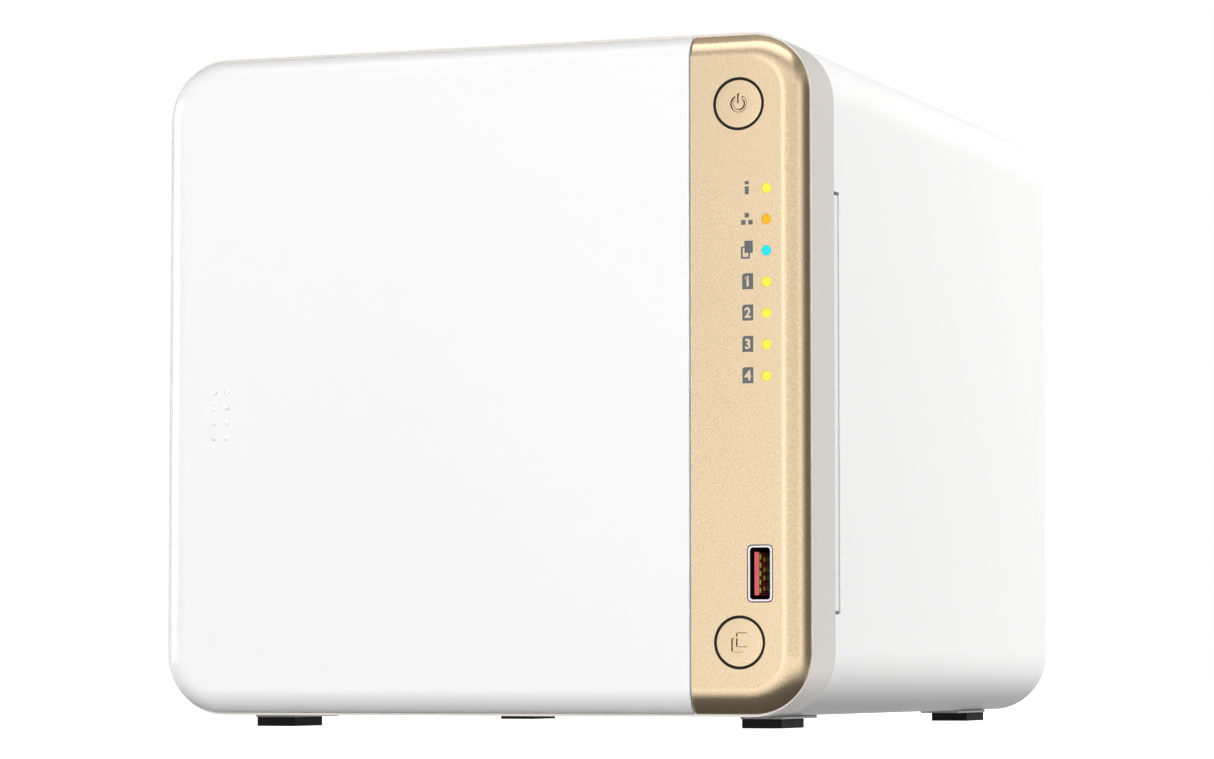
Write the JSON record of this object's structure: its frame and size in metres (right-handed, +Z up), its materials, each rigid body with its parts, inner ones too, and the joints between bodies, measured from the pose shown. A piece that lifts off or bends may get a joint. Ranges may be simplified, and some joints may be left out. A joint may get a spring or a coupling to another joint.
{
  "type": "network attached storage",
  "caption": "Desktop storage box with a lift-off front cover, sliding hard drive trays, control buttons, status lamps and a rear fan.",
  "frame": {"origin": "on the desk, under the middle of the box's bounding box", "axes": "+X right seen from the front, -Y front, +Z up"},
  "size_m": [0.17, 0.226, 0.168],
  "materials": {
    "white_gloss": "gloss white, moulded",
    "case_white": "smooth white paint",
    "strip_white": "light grey-white plastic",
    "gold_paint": "champagne-gold metallic paint with fine grain",
    "band_paint": "pale champagne paint, smooth",
    "black_plastic": "black plastic",
    "lamp_yellow": "clear lens, lit yellow",
    "lamp_orange": "clear lens, lit orange",
    "lamp_cyan": "clear lens, lit cyan",
    "bright_steel": "bright plated steel",
    "red_plastic": "red insulator",
    "contact_gold": "gold-plated spring contacts",
    "board_green": "green lacquered circuit board",
    "sheet_steel": "zinc-coated sheet steel",
    "fin_alloy": "satin aluminium fins",
    "panel_paint": "fine textured light grey paint",
    "tray_plastic": "light grey satin plastic",
    "handle_plastic": "white satin plastic",
    "drive_cast": "cast and machined aluminium",
    "drive_steel": "brushed lid",
    "fan_black": "black glass-filled plastic",
    "blue_plastic": "blue insulator",
    "foot_rubber": "matt black rubber"
  },
  "bodies": {
    "chassis": {"case_shell": "case_white", "side_strip": "strip_white", "front_frame": "band_paint", "control_strip": "gold_paint", "power_button_ring": "black_plastic", "copy_button_ring": "black_plastic", "status_lamp": "lamp_yellow", "network_lamp": "lamp_orange", "copy_lamp": "lamp_cyan", "drive_lamps": "lamp_yellow", "front_usb_shell": "bright_steel", "front_usb_tongue": "red_plastic", "front_usb_contacts": "contact_gold", "control_board": "board_green", "tact_switches": "black_plastic", "drive_cage": "sheet_steel", "cage_sides": "sheet_steel", "guide_rails": "black_plastic", "backplane_board": "board_green", "drive_sockets": "black_plastic", "main_board": "board_green", "heatsink": "fin_alloy", "memory_socket": "black_plastic", "memory_module": "board_green", "network_sockets": "bright_steel", "rear_usb_shells": "bright_steel", "rear_usb_tongues": "blue_plastic", "hdmi_socket": "bright_steel", "power_inlet": "black_plastic", "reset_switch": "black_plastic", "rear_panel": "panel_paint", "panel_screws": "bright_steel", "fan_frame": "fan_black", "fan_guard": "bright_steel", "fan_screws": "bright_steel", "foot_bases": "strip_white", "foot_pads": "foot_rubber"},
    "cover": {"front_cover": "white_gloss"},
    "power_key": {"power_button": "gold_paint"},
    "copy_key": {"copy_button": "gold_paint"},
    "reset_key": {"reset_button": "black_plastic"},
    "rotor": {"fan_rotor": "fan_black"},
    "tray_body_1": {"tray_1": "tray_plastic", "drive_1": "drive_cast", "drive_lid_1": "drive_steel"},
    "handle_body_1": {"handle_1": "handle_plastic"},
    "tray_body_2": {"tray_2": "tray_plastic", "drive_2": "drive_cast", "drive_lid_2": "drive_steel"},
    "handle_body_2": {"handle_2": "handle_plastic"},
    "tray_body_3": {"tray_3": "tray_plastic", "drive_3": "drive_cast", "drive_lid_3": "drive_steel"},
    "handle_body_3": {"handle_3": "handle_plastic"},
    "tray_body_4": {"tray_4": "tray_plastic", "drive_4": "drive_cast", "drive_lid_4": "drive_steel"},
    "handle_body_4": {"handle_4": "handle_plastic"}
  },
  "joints": [
    {"name": "cover_slide", "type": "slide", "parent": "chassis", "child": "cover", "axis": [0, -1, 0], "range_m": [0, 0.3]},
    {"name": "power_press", "type": "slide", "parent": "chassis", "child": "power_key", "axis": [0, 1, 0], "range_m": [0, 0.0006], "stiffness_N_per_m": 900},
    {"name": "copy_press", "type": "slide", "parent": "chassis", "child": "copy_key", "axis": [0, 1, 0], "range_m": [0, 0.0006], "stiffness_N_per_m": 900},
    {"name": "reset_press", "type": "slide", "parent": "chassis", "child": "reset_key", "axis": [0, -1, 0], "range_m": [0, 0.0008], "stiffness_N_per_m": 700},
    {"name": "fan_spin", "type": "hinge", "parent": "chassis", "child": "rotor", "pos_m": [-0.0145, 0.09705, 0.0855], "axis": [0, 1, 0], "continuous": true},
    {"name": "tray_slide_1", "type": "slide", "parent": "chassis", "child": "tray_body_1", "axis": [0, -1, 0], "range_m": [0, 0.15]},
    {"name": "handle_swing_1", "type": "hinge", "parent": "tray_body_1", "child": "handle_body_1", "pos_m": [-0.064, -0.10555, 0.0315], "axis": [1, 0, 0], "range_deg": [0, 60]},
    {"name": "tray_slide_2", "type": "slide", "parent": "chassis", "child": "tray_body_2", "axis": [0, -1, 0], "range_m": [0, 0.15]},
    {"name": "handle_swing_2", "type": "hinge", "parent": "tray_body_2", "child": "handle_body_2", "pos_m": [-0.031, -0.10555, 0.0315], "axis": [1, 0, 0], "range_deg": [0, 60]},
    {"name": "tray_slide_3", "type": "slide", "parent": "chassis", "child": "tray_body_3", "axis": [0, -1, 0], "range_m": [0, 0.15]},
    {"name": "handle_swing_3", "type": "hinge", "parent": "tray_body_3", "child": "handle_body_3", "pos_m": [0.002, -0.10555, 0.0315], "axis": [1, 0, 0], "range_deg": [0, 60]},
    {"name": "tray_slide_4", "type": "slide", "parent": "chassis", "child": "tray_body_4", "axis": [0, -1, 0], "range_m": [0, 0.15]},
    {"name": "handle_swing_4", "type": "hinge", "parent": "tray_body_4", "child": "handle_body_4", "pos_m": [0.035, -0.10555, 0.0315], "axis": [1, 0, 0], "range_deg": [0, 60]}
  ],
  "couplings": [
    {"joint": "tray_slide_1", "follows": "cover_slide", "ratio": 0.5},
    {"joint": "handle_swing_1", "follows": "cover_slide", "rad_per_m": 3.49},
    {"joint": "tray_slide_2", "follows": "cover_slide", "ratio": 0.5},
    {"joint": "handle_swing_2", "follows": "cover_slide", "rad_per_m": 3.49},
    {"joint": "tray_slide_3", "follows": "cover_slide", "ratio": 0.5},
    {"joint": "handle_swing_3", "follows": "cover_slide", "rad_per_m": 3.49},
    {"joint": "tray_slide_4", "follows": "cover_slide", "ratio": 0.5},
    {"joint": "handle_swing_4", "follows": "cover_slide", "rad_per_m": 3.49}
  ]
}
